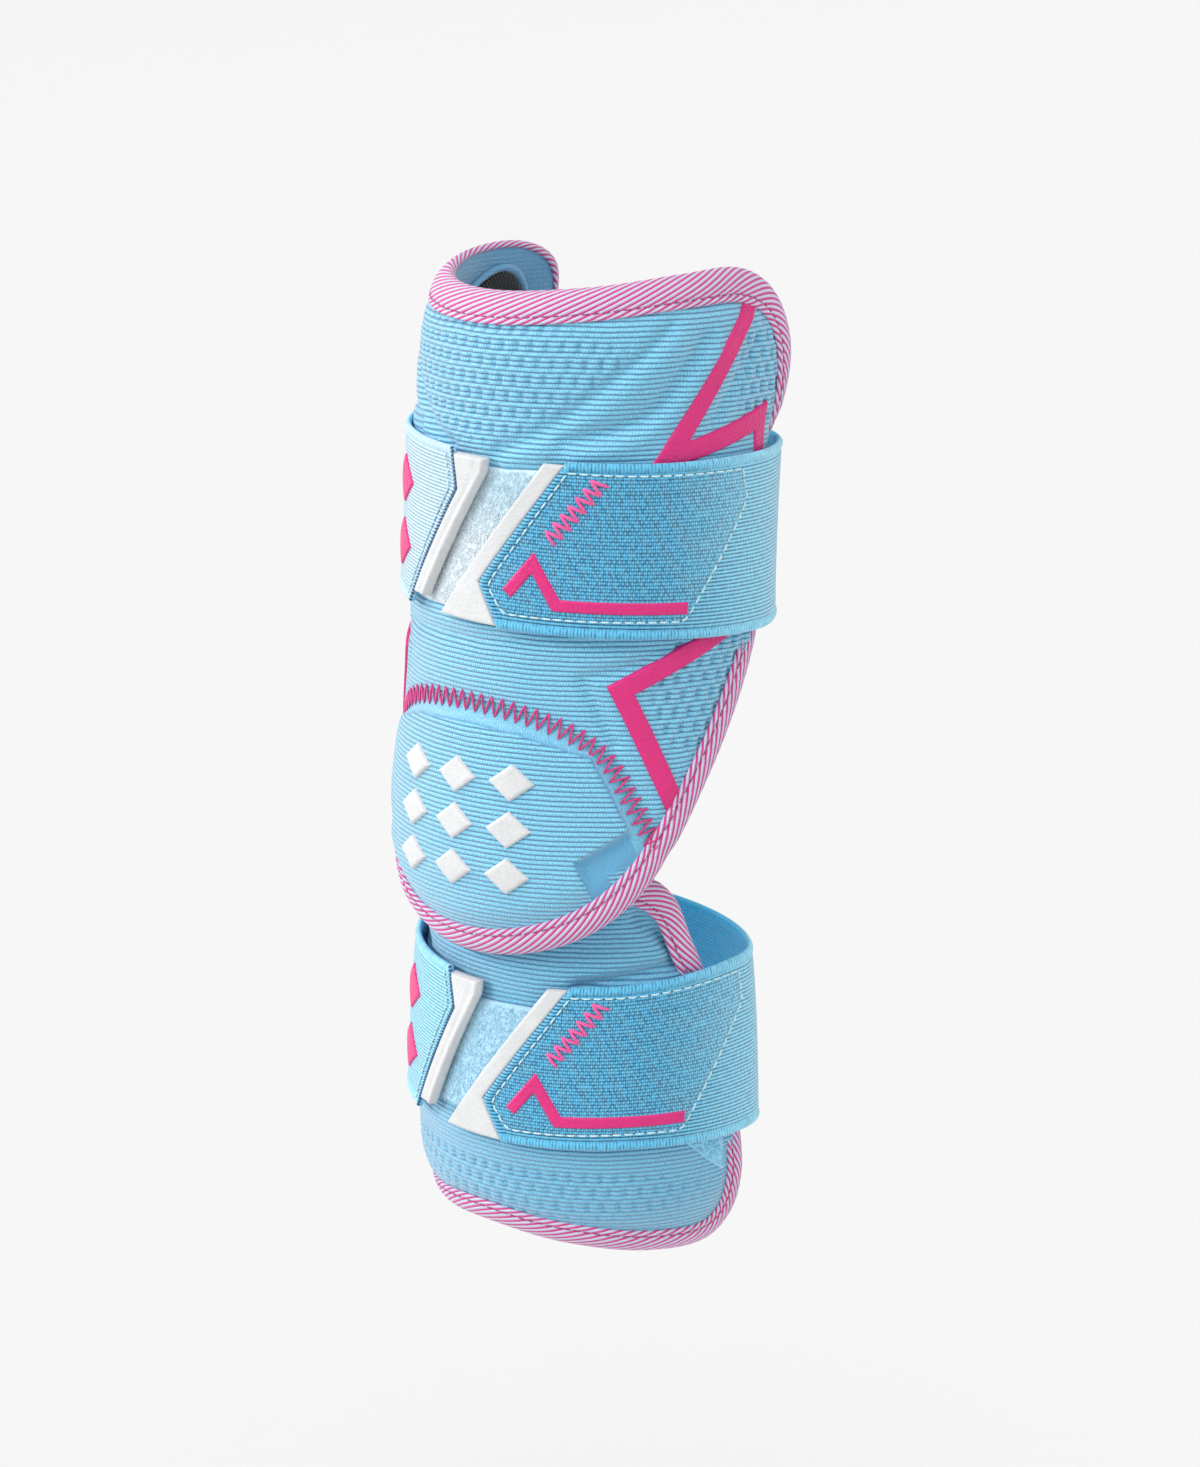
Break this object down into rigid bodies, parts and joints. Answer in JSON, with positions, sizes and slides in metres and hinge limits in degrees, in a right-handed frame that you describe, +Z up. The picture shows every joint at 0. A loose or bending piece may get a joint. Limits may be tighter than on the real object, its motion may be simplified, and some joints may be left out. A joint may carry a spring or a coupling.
{
  "type": "elbow guard",
  "caption": "Padded elbow guard with an upper pad and elbow cap over a forearm pad, striped tape on every edge, and two wide elastic straps with rubber tabs.",
  "frame": {"origin": "on the arm's axis at the height of the elbow cap", "axes": "+Z up along the arm towards the shoulder, -Y to the outside of the elbow, +X to the right of a viewer facing the cap"},
  "size_m": [0.109, 0.0959, 0.2681],
  "materials": {
    "pad_fabric": "light blue ribbed knit over foam",
    "edge_tape": "pink and pale lavender bias-striped tape",
    "strap_elastic": "blue woven elastic",
    "loop_pile": "pale blue fuzzy loop pile",
    "white_rubber": "white matte moulded rubber",
    "pink_rubber": "pink pebbled moulded rubber",
    "liner_mesh": "black liner mesh"
  },
  "bodies": {
    "root": {"upper_body": "pad_fabric", "elbow_cap": "pad_fabric", "lower_body": "pad_fabric", "upper_binding": "edge_tape", "lower_binding": "edge_tape", "upper_liner": "liner_mesh", "flash_right": "pink_rubber", "flash_left": "pink_rubber", "cap_diamond_1": "white_rubber", "cap_diamond_2": "white_rubber", "cap_diamond_3": "white_rubber", "cap_diamond_4": "white_rubber", "cap_diamond_5": "white_rubber", "cap_diamond_6": "white_rubber", "cap_diamond_7": "white_rubber", "cap_diamond_8": "white_rubber", "cap_diamond_9": "white_rubber", "upper_loop_patch": "loop_pile", "lower_loop_patch": "loop_pile", "upper_strap": "strap_elastic", "upper_tab_right": "white_rubber", "upper_tab_left": "white_rubber", "upper_strap_check": "pink_rubber", "upper_strap_diamond_1": "pink_rubber", "upper_strap_diamond_2": "pink_rubber", "lower_strap": "strap_elastic", "lower_tab_right": "white_rubber", "lower_tab_left": "white_rubber", "lower_strap_check": "pink_rubber", "lower_strap_diamond_1": "pink_rubber", "lower_strap_diamond_2": "pink_rubber"}
  },
  "joints": []
}
